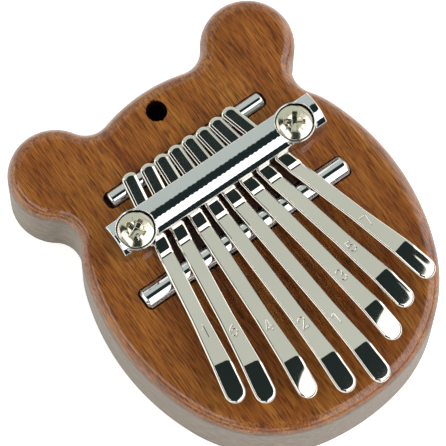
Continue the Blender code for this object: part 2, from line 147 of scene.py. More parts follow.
def metal_material(name, color, rough, scale, wave=0.12, scratch=0.0, yaw=0.0):
    """Bright plated metal: faint waviness, wipe marks and small changes of gloss."""
    mat, nd, lk = new_material(name)
    out = add(nd, "ShaderNodeOutputMaterial")
    bs = add(nd, "ShaderNodeBsdfPrincipled", {"Metallic": 1.0})
    tc = add(nd, "ShaderNodeTexCoord")
    noise = add(nd, "ShaderNodeTexNoise", {"Scale": scale, "Detail": 3.0})
    lk.new(tc.outputs["Object"], noise.inputs["Vector"])
    r = ramp(nd, ((0.3, tuple(c * 0.93 for c in color)), (0.75, color)))
    lk.new(noise.outputs["Fac"], r.inputs["Fac"])
    lk.new(r.outputs["Color"], bs.inputs["Base Color"])
    mr = add(nd, "ShaderNodeMapRange", {"To Min": rough * 0.7, "To Max": rough * 1.4})
    lk.new(noise.outputs["Fac"], mr.inputs["Value"])
    lk.new(mr.outputs["Result"], bs.inputs["Roughness"])
    n2 = add(nd, "ShaderNodeTexNoise", {"Scale": 260.0, "Detail": 1.0})
    lk.new(tc.outputs["Object"], n2.inputs["Vector"])
    bump = add(nd, "ShaderNodeBump", {"Strength": wave, "Distance": 0.0001})
    lk.new(n2.outputs["Fac"], bump.inputs["Height"])
    last = bump
    if scratch:
        mp = add(nd, "ShaderNodeMapping", {"Rotation": (0, 0, yaw), "Scale": (9000.0, 260.0, 9000.0)})
        lk.new(tc.outputs["Object"], mp.inputs["Vector"])
        n3 = add(nd, "ShaderNodeTexNoise", {"Scale": 1.0, "Detail": 2.0})
        lk.new(mp.outputs["Vector"], n3.inputs["Vector"])
        b2 = add(nd, "ShaderNodeBump", {"Strength": scratch, "Distance": 0.00002})
        lk.new(n3.outputs["Fac"], b2.inputs["Height"])
        lk.new(bump.outputs["Normal"], b2.inputs["Normal"])
        last = b2
    lk.new(last.outputs["Normal"], bs.inputs["Normal"])
    lk.new(bs.outputs["BSDF"], out.inputs["Surface"])
    return mat


def wood_material():
    """Open-pored red-brown hardwood, grain along Y, thin satin finish."""
    mat, nd, lk = new_material("mahogany")
    out = add(nd, "ShaderNodeOutputMaterial")
    bs = add(nd, "ShaderNodeBsdfPrincipled")
    tc = add(nd, "ShaderNodeTexCoord")

    def mapped(sx, sy, sz, lean=0.0):
        mp = add(nd, "ShaderNodeMapping", {"Scale": (sx, sy, sz), "Rotation": (0, 0, lean)})
        lk.new(tc.outputs["Object"], mp.inputs["Vector"])
        return mp.outputs["Vector"]

    def noise(vec, detail, distortion=0.0, rough=0.5):
        n = add(nd, "ShaderNodeTexNoise", {"Scale": 1.0, "Detail": detail, "Distortion": distortion,
                                           "Roughness": rough})
        lk.new(vec, n.inputs["Vector"])
        return n.outputs["Fac"]

    def times(a, b, fac):
        m = add(nd, "ShaderNodeMix", data_type="RGBA", blend_type="MULTIPLY")
        m.inputs["Factor"].default_value = fac
        lk.new(a, m.inputs[6])
        lk.new(b, m.inputs[7])
        return m.outputs[2]

    broad = noise(mapped(230, 22, 140), 5.0, 0.6)
    r1 = ramp(nd, ((0.22, (0.152, 0.037, 0.0052)), (0.50, (0.284, 0.095, 0.0125)), (0.78, (0.376, 0.157, 0.026))))
    lk.new(broad, r1.inputs["Fac"])
    patch = ramp(nd, ((0.35, (0.90, 0.78, 0.70)), (0.65, (1.0, 1.0, 1.0))))
    lk.new(noise(mapped(60, 45, 60, 0.3), 2.0, 0.4), patch.inputs["Fac"])
    col = times(r1.outputs["Color"], patch.outputs["Color"], 0.8)
    fib = ramp(nd, ((0.38, (0.36, 0.25, 0.17)), (0.50, (0.94, 0.88, 0.80)), (0.61, (1.34, 1.38, 1.44))))
    fibre = noise(mapped(3300, 125, 3300), 3.0, 0.0, 0.7)
    lk.new(fibre, fib.inputs["Fac"])
    col = times(col, fib.outputs["Color"], 0.8)
    pore = ramp(nd, ((0.54, (1.0, 1.0, 1.0)), (0.67, (0.42, 0.31, 0.24))))
    pores = noise(mapped(3900, 330, 3900, 0.012), 1.0)
    lk.new(pores, pore.inputs["Fac"])
    col = times(col, pore.outputs["Color"], 0.9)
    # zones by position; the last one paints shade between the clamp and the front rod
    sep = add(nd, "ShaderNodeSeparateXYZ")
    lk.new(tc.outputs["Object"], sep.inputs["Vector"])

    def zone(*bands):
        """1 inside a box given as bands of axis, middle, half width and fade."""
        inside = None
        for axis, mid, half, soft in bands:
            off = add(nd, "ShaderNodeMath", operation="SUBTRACT")
            lk.new(sep.outputs[axis], off.inputs[0])
            off.inputs[1].default_value = mid
            dist = add(nd, "ShaderNodeMath", operation="ABSOLUTE")
            lk.new(off.outputs[0], dist.inputs[0])
            fade = add(nd, "ShaderNodeMapRange", {"From Min": half, "From Max": half + soft, "To Min": 1.0,
                                                  "To Max": 0.0}, interpolation_type="SMOOTHSTEP")
            lk.new(dist.outputs[0], fade.inputs["Value"])
            if inside is None:
                inside = fade.outputs["Result"]
            else:
                prod = add(nd, "ShaderNodeMath", operation="MULTIPLY")
                lk.new(inside, prod.inputs[0])
                lk.new(fade.outputs["Result"], prod.inputs[1])
                inside = prod.outputs[0]
        return inside

    # painted reflection: the sawn sides are painted paler and greyer than the face, standing in for the white floor
    # they reflect; the hole and slots are not
    drilled = zone((0, 0.0003, 0.0030, 0.0003), (1, 0.0345, 0.0032, 0.0003))
    holes = drilled
    for box in (((0, 0.0, 0.0288, 0.0005), (1, 0.0, 0.0036, 0.0004)), ((0, 0.0, 0.0270, 0.0005), (1, 0.0234, 0.0032, 0.0004))):
        both_zones = add(nd, "ShaderNodeMath", operation="ADD", use_clamp=True)
        lk.new(holes, both_zones.inputs[0])
        lk.new(zone(*box), both_zones.inputs[1])
        holes = both_zones.outputs[0]
    level = add(nd, "ShaderNodeMapRange", {"From Min": 0.0189, "From Max": 0.0202, "To Min": 1.0, "To Max": 0.0},
                interpolation_type="SMOOTHSTEP")
    lk.new(sep.outputs[2], level.inputs["Value"])
    outer = add(nd, "ShaderNodeMath", operation="SUBTRACT")
    outer.inputs[0].default_value = 1.0
    lk.new(holes, outer.inputs[1])
    sawn = add(nd, "ShaderNodeMath", operation="MULTIPLY")
    lk.new(level.outputs["Result"], sawn.inputs[0])
    lk.new(outer.outputs[0], sawn.inputs[1])
    # painted reflection of the white floor on the side walls
    floor_sheen = ramp(nd, ((0.38, (0.094, 0.063, 0.038)), (0.62, (0.176, 0.125, 0.080))))
    lk.new(noise(mapped(700, 60, 1500), 4.0, 0.3, 0.6), floor_sheen.inputs["Fac"])
    side = add(nd, "ShaderNodeMix", data_type="RGBA")
    lk.new(sawn.outputs[0], side.inputs["Factor"])
    lk.new(col, side.inputs[6])
    lk.new(floor_sheen.outputs["Color"], side.inputs[7])
    col = side.outputs[2]
    # painted shade: the wall of the drilled hole is darkened below its rim
    deep = add(nd, "ShaderNodeMapRange", {"From Min": 0.0205, "From Max": 0.0214, "To Min": 1.0, "To Max": 0.0})
    lk.new(sep.outputs[2], deep.inputs["Value"])
    hole_shade = add(nd, "ShaderNodeMath", operation="MULTIPLY")
    lk.new(drilled, hole_shade.inputs[0])
    lk.new(deep.outputs["Result"], hole_shade.inputs[1])
    hole_shade_ramp = ramp(nd, ((0.0, 1.0), (1.0, (0.10, 0.10, 0.10))))
    lk.new(hole_shade.outputs[0], hole_shade_ramp.inputs["Fac"])
    col = times(col, hole_shade_ramp.outputs["Color"], 1.0)
    # painted shade: the wood between the clamp and the front rod is darkened, where the bar and tines shade it
    dim = zone((0, 0.0, 0.0165, 0.0020), (1, 0.0062, 0.0032, 0.0022))
    bar_shade_ramp = ramp(nd, ((0.0, 1.0), (1.0, (0.20, 0.15, 0.14))))
    lk.new(dim, bar_shade_ramp.inputs["Fac"])
    col = times(col, bar_shade_ramp.outputs["Color"], 1.0)
    lk.new(col, bs.inputs["Base Color"])
    bs.inputs["IOR"].default_value = 1.33
    gloss = add(nd, "ShaderNodeMapRange", {"To Min": 0.85, "To Max": 0.0})
    lk.new(sawn.outputs[0], gloss.inputs["Value"])
    lk.new(gloss.outputs["Result"], bs.inputs["Coat Weight"])
    bs.inputs["Coat Roughness"].default_value = 0.12
    bs.inputs["Coat IOR"].default_value = 1.52
    mr = add(nd, "ShaderNodeMapRange", {"To Min": 0.34, "To Max": 0.50})
    lk.new(fibre, mr.inputs["Value"])
    lk.new(mr.outputs["Result"], bs.inputs["Roughness"])
    b1 = add(nd, "ShaderNodeBump", {"Strength": 0.5, "Distance": 0.00008})
    lk.new(pore.outputs["Color"], b1.inputs["Height"])
    b2 = add(nd, "ShaderNodeBump", {"Strength": 0.3, "Distance": 0.00006})
    lk.new(fibre, b2.inputs["Height"])
    lk.new(b1.outputs["Normal"], b2.inputs["Normal"])
    lk.new(b2.outputs["Normal"], bs.inputs["Normal"])
    lk.new(bs.outputs["BSDF"], out.inputs["Surface"])
    return mat


# ---------------------------------------------------------------- mesh tools
def mesh_object(name, verts, faces, mat, normals=None):
    """Smooth mesh from millimetres of the part frame."""
    me = bpy.data.meshes.new(name)
    me.from_pydata((np.asarray(verts, float) * MM).tolist(), [], [list(map(int, f)) for f in faces])
    me.update()
    me.polygons.foreach_set("use_smooth", [True] * len(me.polygons))
    if normals is not None:
        me.normals_split_custom_set_from_vertices(np.asarray(normals, float).tolist())
    me.materials.append(mat)
    ob = bpy.data.objects.new(name, me)
    bpy.context.scene.collection.objects.link(ob)
    return ob


def both(a, b, r):
    """Distance to what lies in both solids, their shared edge rounded by r."""
    return np.minimum(np.maximum(a, b), -r) + np.hypot(np.maximum(a + r, 0.0), np.maximum(b + r, 0.0))


def either(a, b, r):
    """Distance to the union of two solids with a fillet of radius r."""
    return -both(-a, -b, r)


def surface_net(f, lo, hi, h):
    """Quads over the zero level of f, every point moved onto it, with exact normals."""
    ax = [lo[i] + h * np.arange(int(math.ceil((hi[i] - lo[i]) / h)) + 1) for i in range(3)]
    P = np.stack(np.meshgrid(*ax, indexing="ij"), -1)
    F = f(P)
    ins = F < 0
    shape = tuple(s - 1 for s in F.shape)
    acc = np.zeros(shape + (3,))
    cnt = np.zeros(shape)
    for axis in range(3):
        s0 = [slice(None)] * 3
        s1 = [slice(None)] * 3
        s0[axis], s1[axis] = slice(None, -1), slice(1, None)
        s0, s1 = tuple(s0), tuple(s1)
        cross = ins[s0] != ins[s1]
        t = np.where(cross, F[s0] / np.where(cross, F[s0] - F[s1], 1.0), 0.0)
        pt = P[s0] + (P[s1] - P[s0]) * t[..., None]
        other = [i for i in range(3) if i != axis]
        for da in (0, 1):
            for db in (0, 1):
                sl = [slice(None)] * 3
                sl[other[0]] = slice(da, shape[other[0]] + da)
                sl[other[1]] = slice(db, shape[other[1]] + db)
                sl = tuple(sl)
                acc += np.where(cross[sl][..., None], pt[sl], 0.0)
                cnt += cross[sl]
    used = cnt > 0
    index = np.full(shape, -1)
    index[used] = np.arange(used.sum())
    V = acc[used] / cnt[used][:, None]
    quads = []
    for axis in range(3):
        o1, o2 = [(1, 2), (2, 0), (0, 1)][axis]
        s0 = [slice(1, -1)] * 3
        s1 = [slice(1, -1)] * 3
        s0[axis], s1[axis] = slice(None, -1), slice(1, None)
        a, b = ins[tuple(s0)], ins[tuple(s1)]

        def cells(d1, d2):
            sl = [None] * 3
            sl[axis] = slice(0, shape[axis])
            sl[o1] = slice(1 - d1, shape[o1] - d1)
            sl[o2] = slice(1 - d2, shape[o2] - d2)
            return index[tuple(sl)]

        c00, c10, c11, c01 = cells(0, 0), cells(1, 0), cells(1, 1), cells(0, 1)
        up = a & ~b
        down = b & ~a
        quads.append(np.stack([c11[up], c01[up], c00[up], c10[up]], -1))
        quads.append(np.stack([c10[down], c00[down], c01[down], c11[down]], -1))
    Q = np.concatenate(quads)

    def gradient(p, e=2e-3):
        g = np.empty_like(p)
        for i in range(3):
            d = np.zeros(3)
            d[i] = e
            g[:, i] = (f(p + d) - f(p - d)) / (2 * e)
        return g

    for _ in range(4):
        g = gradient(V)
        n2 = np.maximum((g * g).sum(1), 1e-6)
        step = -(f(V) / n2)[:, None] * g
        ln = np.linalg.norm(step, axis=1)
        step *= np.minimum(1.0, 0.5 * h / np.maximum(ln, 1e-9))[:, None]
        V = V + step
    g = gradient(V, 0.02)
    N = g / np.maximum(np.linalg.norm(g, axis=1), 1e-9)[:, None]
    return V, Q, N


def spin(profile, centre, axis, n, yaw=0.0):
    """Turned solid: (along, radius) pairs, closed with points on the axis."""
    verts, faces = [], []
    for a, r in profile:
        for i in range(n):
            t = 2 * math.pi * i / n
            verts.append((a, r * math.cos(t), r * math.sin(t)))
    m = len(profile)
    for j in range(m - 1):
        for i in range(n):
            k = (i + 1) % n
            faces.append((j * n + i, (j + 1) * n + i, (j + 1) * n + k, j * n + k))
    verts += [(profile[0][0], 0, 0), (profile[-1][0], 0, 0)]
    e0, e1 = len(verts) - 2, len(verts) - 1
    for i in range(n):
        k = (i + 1) % n
        faces.append((e0, i, k))
        faces.append((e1, (m - 1) * n + k, (m - 1) * n + i))
    v = np.array(verts)
    if axis == "x":
        c, s = math.cos(yaw), math.sin(yaw)
        v = np.c_[v[:, 0] * c - v[:, 1] * s, v[:, 0] * s + v[:, 1] * c, v[:, 2]]
    else:
        v = np.c_[v[:, 1], v[:, 2], v[:, 0]]
    return v + np.array(centre), [f[::-1] for f in faces]


# --------------------------------------------------------------------- tines
def profile_z(y):
    """Underside height of an undrooped tine, its bends rounded."""
    knots = PROFILE + ((-80.0, PROFILE[-1][1] + (PROFILE[-1][0] + 80.0) * BLADE_SLOPE),)
    ys = np.array([k[0] for k in knots])[::-1]
    zs = np.array([k[1] for k in knots])[::-1]
    tot = 0.0
    offs = np.linspace(-1.0, 1.0, 9)
    wts = 1.0 - np.abs(offs) * 0.85
    soft = 0.26 + 0.22 * max(0.0, 1.0 - abs(y - 5.35) / 1.2)
    for o, w in zip(offs, wts):
        tot = tot + w * np.interp(y + soft * o, ys, zs)
    return tot / wts.sum()


def digit_strokes(digit):
    """Centre lines of a stamped digit, 3 mm high, as lists of points."""
    def arc(cx, cy, rx, ry, a0, a1, n=14):
        return [(cx + rx * math.cos(math.radians(a0 + (a1 - a0) * i / n)),
                 cy + ry * math.sin(math.radians(a0 + (a1 - a0) * i / n))) for i in range(n + 1)]
    return {
        "1": [[(-0.6, 0.95), (0.05, 1.5), (0.05, -1.5)]],
        "2": [arc(0.0, 0.72, 0.78, 0.78, 170, -20) + [(-0.8, -1.5), (0.85, -1.5)]],
        "3": [arc(-0.05, 0.76, 0.74, 0.74, 150, -80) + arc(-0.05, -0.72, 0.82, 0.78, 80, -150)],
        "4": [[(0.9, -0.65), (-0.85, -0.65), (0.35, 1.5), (0.35, -1.5)]],
        "5": [[(0.7, 1.5), (-0.55, 1.5), (-0.68, 0.22)] + arc(-0.05, -0.55, 0.86, 0.92, 125, -145)],
        "6": [[(0.6, 1.42)] + arc(0.55, -0.3, 1.35, 1.65, 110, 180, 8) + arc(0.0, -0.62, 0.8, 0.86, 180, 540, 20)],
        "7": [[(-0.8, 1.5), (0.82, 1.5), (-0.1, -1.5)]],
    }[digit]


def stroke_distance(p, strokes):
    best = np.full(len(p), 1e9)
    for line in strokes:
        for (ax, ay), (bx, by) in zip(line[:-1], line[1:]):
            dx, dy = bx - ax, by - ay
            t = np.clip(((p[:, 0] - ax) * dx + (p[:, 1] - ay) * dy) / max(dx * dx + dy * dy, 1e-9), 0, 1)
            best = np.minimum(best, np.hypot(p[:, 0] - ax - t * dx, p[:, 1] - ay - t * dy))
    return best


def facet(t, soft):
    """Zero, then rising by t, with the corner between rounded."""
    return np.where(t > soft, t, np.where(t < -soft, 0.0, (t + soft) ** 2 / (4 * soft)))


def edge_drop(d, w, rc=0.10):
    """How far the top lies below its flat at distance d from the outline."""
    q = np.clip((rc - d) / rc, 0.0, 1.0)
    return 0.56 * facet(w - d, 0.08) + 0.24 * facet(0.22 - d, 0.03) + rc * (1.0 - np.sqrt(1.0 - q * q))


def droop(name, u, xa):
    """Drop of the bent-down tip at u past its bend and xa across; each tip was bent by hand."""
    a, b, skew, straight, stripe_x, stripe = TIP_BEND[name]
    back = np.where(xa > 0.95, 1.3 - np.sqrt(np.maximum(1.3 ** 2 - (xa - 0.95) ** 2, 0.0)), 0.0)
    back = back * np.clip(1 - (u - 0.8) / 2.4, 0.0, 1.0)
    u = np.maximum(u - back, 0.0)
    v = np.minimum(u, straight)
    drop = a * u + b * (1 + skew * xa) * (v * v + 2 * v * (u - v))
    on = np.clip((u - 1.6) / 3.0, 0.0, 1.0)
    on = on * on * (3 - 2 * on)
    return drop + stripe * on * 0.5 * (1 + np.tanh((xa - stripe_x) / 0.38)) + 0.05 * np.maximum(u - 8.4, 0.0) ** 2


def build_tine(name, x_rear, y_rear, fan_deg, y_tip, digit, digit_y, mat):
    fan = math.radians(fan_deg)
    tan, cos = math.tan(fan), math.cos(fan)
    r_rear, r_tip = W_REAR / 2, W_TIP / 2

    def centre(y):
        return x_rear + (y_rear - y) * tan

    def half(y):
        t = np.clip((FLARE_START - (y - y_tip)) / (FLARE_START - FLARE_END), 0.0, 1.0)
        return (W_REAR + (W_TIP - W_REAR) * t) / 2

    cy_rear, cy_tip = y_rear - REAR_ROUND, y_tip + r_tip

    def edges(y):
        xs = []
        for side in (-1, 1):
            x = centre(y) + side * half(y) / cos
            if y > cy_rear + side * REAR_ROUND * math.sin(fan):
                q = max(0.0, 1.0 - ((y - cy_rear) / REAR_ROUND) ** 2)
                x = centre(cy_rear) + side * r_rear * math.sqrt(q)
            if y < cy_tip + side * r_tip * math.sin(fan):
                x = centre(cy_tip) + side * math.sqrt(max(0.0, r_tip ** 2 - (y - cy_tip) ** 2))
            xs.append(x)
        return xs

    # rings parallel to X, close together at the ends, the bends and the digit
    close = (0.0, 0.012, 0.035, 0.07, 0.11, 0.16, 0.24, 0.34, 0.46, 0.6, 0.76, 0.92, 1.1, 1.3, 1.5)
    ys = [y_rear - d for d in close] + [y_tip + d for d in close]
    ys += list(np.arange(y_tip + 1.7, y_tip + DROOP_LEN + 2, 0.22))
    ys += list(np.arange(y_rear - 1.5, y_rear - 3.2, -0.12)) + list(np.arange(y_rear - 3.2, 12.0, -0.5))
    ys += list(np.arange(12.0, 4.3, -0.09))
    ys += list(np.arange(4.3, y_tip + DROOP_LEN + 1, -0.45))
    ys += list(np.arange(-1.6, 1.6, 0.14))
    ys += list(np.arange(digit_y - 2.0, digit_y + 2.4, 0.065))
    ys = sorted((y for y in ys if y_tip <= y <= y_rear), reverse=True)
    keep = [ys[0]]
    for y in ys[1:]:
        if keep[-1] - y > 0.0095:
            keep.append(y)
    keep[-1] = y_tip
    # columns across
    rim = np.array([0.0, 0.012, 0.035, 0.07, 0.11, 0.15, 0.19, 0.23, 0.27, 0.32, 0.37, 0.42, 0.47, 0.53])
    mid = np.linspace(0.60, W_REAR - 0.60, 42)
    cols = np.r_[rim, mid, (W_REAR - rim)[::-1]] / W_REAR
    # outline for the distance of each point from the edge
    line = []
    for y in keep:
        xl, xr = edges(y)
        line.append(((xl, y), (xr, y)))
    left = np.array([a for a, _ in line])
    right = np.array([b for _, b in line])
    strokes = digit_strokes(digit)
    dot = [[(0.02, 2.05), (0.02, 2.07)]] if name == "tine_high1" else []
    verts, n_top = [], len(cols)
    rng = np.random.RandomState(int(abs(y_tip) * 10))
    twist = rng.uniform(-0.4, 0.4) * 0.01
    y_bend = y_tip + DROOP_LEN
    for y in keep:
        xl, xr = edges(y)
        if xr - xl < 0.2:
            m = (xl + xr) / 2
            xl, xr = m - 0.1, m + 0.1
        x = xl + (xr - xl) * cols
        d = np.full(len(x), 9.0)
        for pts in (left, right):
            near = np.abs(pts[:, 1] - y) < 1.6
            q = pts[near]
            if len(q) < 2:
                continue
            a, b = q[:-1], q[1:]
            ab = b - a
            px, py = x[:, None] - a[None, :, 0], y - a[None, :, 1]
            t = np.clip((px * ab[:, 0] + py * ab[:, 1]) / np.maximum((ab ** 2).sum(1), 1e-12), 0, 1)
            d = np.minimum(d, np.hypot(px - t * ab[:, 0], py - t * ab[:, 1]).min(1))
        w = float(np.interp(y, (y_tip, y_tip + 2.0, 3.0, 8.0, 12.0), (0.50, 0.46, 0.46, 0.46, 0.74)))
        xa = (x - centre(y)) * cos
        u = (x - centre(y_bend)) * math.sin(fan) + (y_bend - y) * cos
        sag = droop(name, u, xa)
        zb = BODY_T + float(profile_z(y))
        zt = zb + TINE_T - sag - edge_drop(d, w) + twist * (x - centre(y))
        zl, zm, zr = (zb - float(sag[k]) for k in (0, len(sag) // 2, -1))
        if abs(y - digit_y) < 2.6:
            p = np.c_[(x - centre(y)) * cos, np.full(len(x), (y - digit_y) / cos)] / 0.88
            sd = stroke_distance(p, strokes)
            depth = 0.062 * np.clip(1 - (sd / 0.18) ** 2, 0, 1) - 0.012 * np.exp(-((sd - 0.25) / 0.07) ** 2)
            if dot:
                sd2 = stroke_distance(p, dot)
                depth = np.maximum(depth, 0.10 * np.clip(1 - (sd2 / 0.2) ** 2, 0, 1))
            zt = zt - depth
        ring = [(xx, y, zz) for xx, zz in zip(x, zt)]
        c = min(0.14, (xr - xl) * 0.3)
        hi_z, lo_z = zt[-1], zr + c
        for k in (0.35, 0.7, 1.0):
            ring.append((xr, y, hi_z + (lo_z - hi_z) * k))
        for a in (30, 60, 90):
            ring.append((xr - c + c * math.cos(math.radians(a)), y, zr + c - c * math.sin(math.radians(a))))
        ring.append(((xl + xr) / 2, y, zm))
        for a in (90, 60, 30):
            ring.append((xl + c - c * math.cos(math.radians(a)), y, zl + c - c * math.sin(math.radians(a))))
        hi_z, lo_z = zt[0], zl + c
        for k in (1.0, 0.7, 0.35):
            ring.append((xl, y, hi_z + (lo_z - hi_z) * k))
        verts.append(ring)
    n = len(verts[0])
    flat = [p for ring in verts for p in ring]
    faces = []
    for j in range(len(verts) - 1):
        for i in range(n):
            k = (i + 1) % n
            faces.append((j * n + i, j * n + k, (j + 1) * n + k, (j + 1) * n + i))
    last = (len(verts) - 1) * n
    # end walls: one polygon through the ring at each end
    for base, flip in ((0, False), (last, True)):
        loop = [base + i for i in range(n)]
        faces.append(tuple(loop if flip else loop[::-1]))
    faces = [f[::-1] for f in faces]
    ob = mesh_object(name, flat, faces, mat)
    ob.data.set_sharp_from_angle(angle=math.radians(60.0))
    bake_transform(ob)
    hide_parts(name + "_shank", name + "_blade")
    return ob


# ------------------------------------------------------------- pressure bar
def build_bar(mat):
    cy, sy = math.cos(BAR_YAW), math.sin(BAR_YAW)
    half_l = (BAR_X1 - BAR_X0) / 2
    bores = []
    for _, x, y, _ in SCREWS:
        dx, dy = x - BAR_C[0], y - BAR_C[1]
        bores.append((dx * cy + dy * sy, -dx * sy + dy * cy))
    sides = []
    for row, side in ((TINES[0], -1), (TINES[-1], 1)):
        fan = math.radians(row[3])
        sides.append((row[1], row[2], math.tan(fan), side, W_REAR / 2 / math.cos(fan) + RELIEF_SIDE))

    def f(P):
        u, v, w = P[..., 0], P[..., 1], P[..., 2]
        wob = 0.010 * np.sin(0.9 * u + 1.3) + 0.008 * np.sin(2.3 * u + 0.7 * v) + 0.004 * np.sin(5.1 * u - 2.0 * v)
        vc = v - BAR_CROWN_Y
        a, b, m = np.where(vc > 0, BAR_CROWN_A[1], BAR_CROWN_A[0]), BAR_RISE, BAR_CROWN
        q, t = np.abs(vc) / a + 1e-6, np.maximum(w - BAR_CROWN_Z, 1e-3) / b
        k = (q ** m + t ** m) ** (1 / m)
        d = (k - 1) * k ** (m - 1) / np.hypot(q ** (m - 1) / a, t ** (m - 1) / b)
        for side, v0, wall in ((-1, BAR_CROWN_V[0], BAR_WALLS[0]), (1, BAR_CROWN_V[1], BAR_WALLS[1])):
            z0 = BAR_CROWN_Z + b * (1 - (abs(v0) / BAR_CROWN_A[side > 0]) ** m) ** (1 / m)
            dv, dz = BAR_W / 2 - side * (v0 + BAR_CROWN_Y), z0 - wall
            n = math.hypot(dv, dz)
            chamfer = ((side * vc - side * v0) * dz + (w - z0) * dv) / n
            edge = both(chamfer, side * v - BAR_W / 2, 0.22)
            d = np.where(side * vc > side * v0, edge, d)
        d = d + wob + 0.03
        d = both(d, np.abs(u) - half_l, 0.30)
        for bu, bv in bores:
            r = np.hypot(u - bu, v - bv)
            cone = r - (BOSS_D / 2 - 0.375 * np.clip(2.6 - w, 0, 1.6))
            boss = both(cone, w - BOSS_TOP, 0.25)
            d = either(d, boss, 0.35)
        d = both(d, BAR_LIFT - w, 0.25)
        for bu, bv in bores:
            r = np.hypot(u - bu, v - bv)
            bore = both(r - BORE_D / 2 + 0.10, BORE_FLOOR - w, 0.2)
            d = np.maximum(both(d, -bore, 0.08), (d - bore + 0.15) * 0.7071)
            d = both(d, SHANK_HOLE_D / 2 - r, 0.15)
        x = BAR_C[0] + u * cy - v * sy
        y = BAR_C[1] + u * sy + v * cy
        gap = w - RELIEF_Z
        for xr, yr, tan, side, reach in sides:
            gap = np.maximum(gap, side * (x - xr - (yr - y) * tan) - reach)
        return both(d, -gap, 0.12)

    lo = (-half_l - 0.3, -BOSS_D / 2 - 0.4, BAR_LIFT - 0.3)
    hi = (half_l + 0.3, BOSS_D / 2 + 0.4, BAR_CROWN_Z + BAR_RISE + 0.3)
    V, Q, N = surface_net(f, lo, hi, 0.17)
    rot = lambda A: np.c_[A[:, 0] * cy - A[:, 1] * sy, A[:, 0] * sy + A[:, 1] * cy, A[:, 2]]
    V = rot(V) + np.array((BAR_C[0], BAR_C[1], BODY_T))
    ob = mesh_object("pressure_bar_cast", V, Q, mat, rot(N))
    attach(ob, "instrument")
    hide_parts("pressure_bar")
    return ob


# ------------------------------------------------------------------- screws
def build_screw(name, x, y, turn, mat):
    z0 = BORE_FLOOR + 0.3
    r_head = HEAD_D / 2
    rise = 1.30
    ball = (r_head ** 2 + rise ** 2) / (2 * rise)
    c1, s1 = math.cos(turn), math.sin(turn)

    def f(P):
        px, py, w = P[..., 0], P[..., 1], P[..., 2]
        r = np.hypot(px, py)
        d = np.sqrt(r ** 2 + (w - (HEAD_H - ball)) ** 2) - ball
        d = both(d, r - r_head, 0.28)
        d = both(d, -w, 0.12)
        d = either(d, both(r - SHANK_D / 2, -1.2 - w, 0.05), 0.25)
        a, b = px * c1 + py * s1, -px * s1 + py * c1
        down = np.clip(HEAD_H - w, 0.0, 3.0)
        # cross recess: a shallow cone in the middle and four deep wings
        rec = (HEAD_H - 0.12 - (1.85 - r) * 0.75 - w) * 0.80
        for p, q in ((a, b), (b, a)):
            wing = np.maximum(np.abs(q) - (0.62 - 0.06 * down), np.abs(p) - (2.62 - 0.55 * down))
            wing = np.maximum(wing, (HEAD_H - 1.75 + 0.15 * r) - w)
            rec = either(rec, wing, 0.06)
        d = both(d, -rec, 0.06)
        e, g = (a + b) / math.sqrt(2), (a - b) / math.sqrt(2)
        for q, s in ((e, g), (g, e)):
            tick = np.maximum(np.hypot(q, w - (HEAD_H - 0.0716 * r * r)) - 0.13, np.abs(s) - 2.7)
            d = both(d, -np.maximum(tick, 1.75 - np.abs(s)), 0.03)
        return d

    V, Q, N = surface_net(f, (-r_head - 0.2, -r_head - 0.2, -1.1), (r_head + 0.2, r_head + 0.2, HEAD_H + 0.2), 0.085)
    base = np.array((x, y, BODY_T + z0))
    head = mesh_object(name + "_head", V + base, Q, mat, N)
    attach(head, "instrument")
    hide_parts(name)
    # rolled thread, hidden in the wood: core with a helical ridge
    n, pitch = 32, 1.25
    verts, faces = [], []
    zs = np.arange(-0.9, -SCREW_LEN, -pitch / 10)
    for z in zs:
        for i in range(n):
            ph = (z / pitch + i / n) % 1.0
            ridge = max(0.0, 1 - abs(ph - 0.5) * 3.2)
            taper = min(1.0, (z + SCREW_LEN) / 2.6 + 0.12)
            start = min(1.0, max(0.0, (-1.6 - z) / 1.0))
            r = (SHANK_D / 2 - 0.4 * start + 0.4 * start * ridge) * taper
            t = 2 * math.pi * i / n
            verts.append((x + r * math.cos(t), y + r * math.sin(t), BODY_T + z0 + z))
    m = len(zs)
    for j in range(m - 1):
        for i in range(n):
            k = (i + 1) % n
            faces.append((j * n + i, (j + 1) * n + i, (j + 1) * n + k, j * n + k))
    faces.append(tuple(range(n)))
    faces.append(tuple((m - 1) * n + i for i in reversed(range(n))))
    shank = mesh_object(name + "_thread", verts, faces, mat)
    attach(shank, "instrument")
    return head


# --------------------------------------------------------------------- rods
def build_rod(name, d, length, chamfer, centre, mat, yaw=0.0):
    r, x1 = d / 2, length / 2
    cut = 0.1
    side = [(x1 - chamfer - cut, r), (x1 - chamfer - 0.02, r - 0.035), (x1 - chamfer + 0.05, r - 0.10)]
    side += [(x1 - 0.09, r - chamfer + 0.05), (x1 - 0.02, r - chamfer - 0.03), (x1, r - chamfer - 0.12)]
    face = [(x1 - 0.015, (r - chamfer) * 0.55), (x1 - 0.03, (r - chamfer) * 0.1)]
    right = side + face
    left = [(-a, b) for a, b in reversed(right)]
    steps = [(a, r) for a in np.linspace(-x1 + chamfer + 0.3, x1 - chamfer - 0.3, 60)]
    prof = left + steps + right
    v, f = spin(prof, (centre[0], centre[1], BODY_T + centre[2]), "x", 96, yaw)
    ob = mesh_object(name + "_turned", v, f, mat)
    ob.data.set_sharp_from_angle(angle=math.radians(35.0))
    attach(ob, "instrument")
    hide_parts(name)
    return ob


# --------------------------------------------------------------------- body
def meet(c1, r1, c2, r2, side):
    dx, dy = c2[0] - c1[0], c2[1] - c1[1]
    d = math.hypot(dx, dy)
    a = (r1 * r1 - r2 * r2 + d * d) / (2 * d)
    h = side * math.sqrt(r1 * r1 - a * a)
    return (c1[0] + a * dx / d - h * dy / d, c1[1] + a * dy / d + h * dx / d)


def angle(c, p):
    return math.atan2(p[1] - c[1], p[0] - c[0])


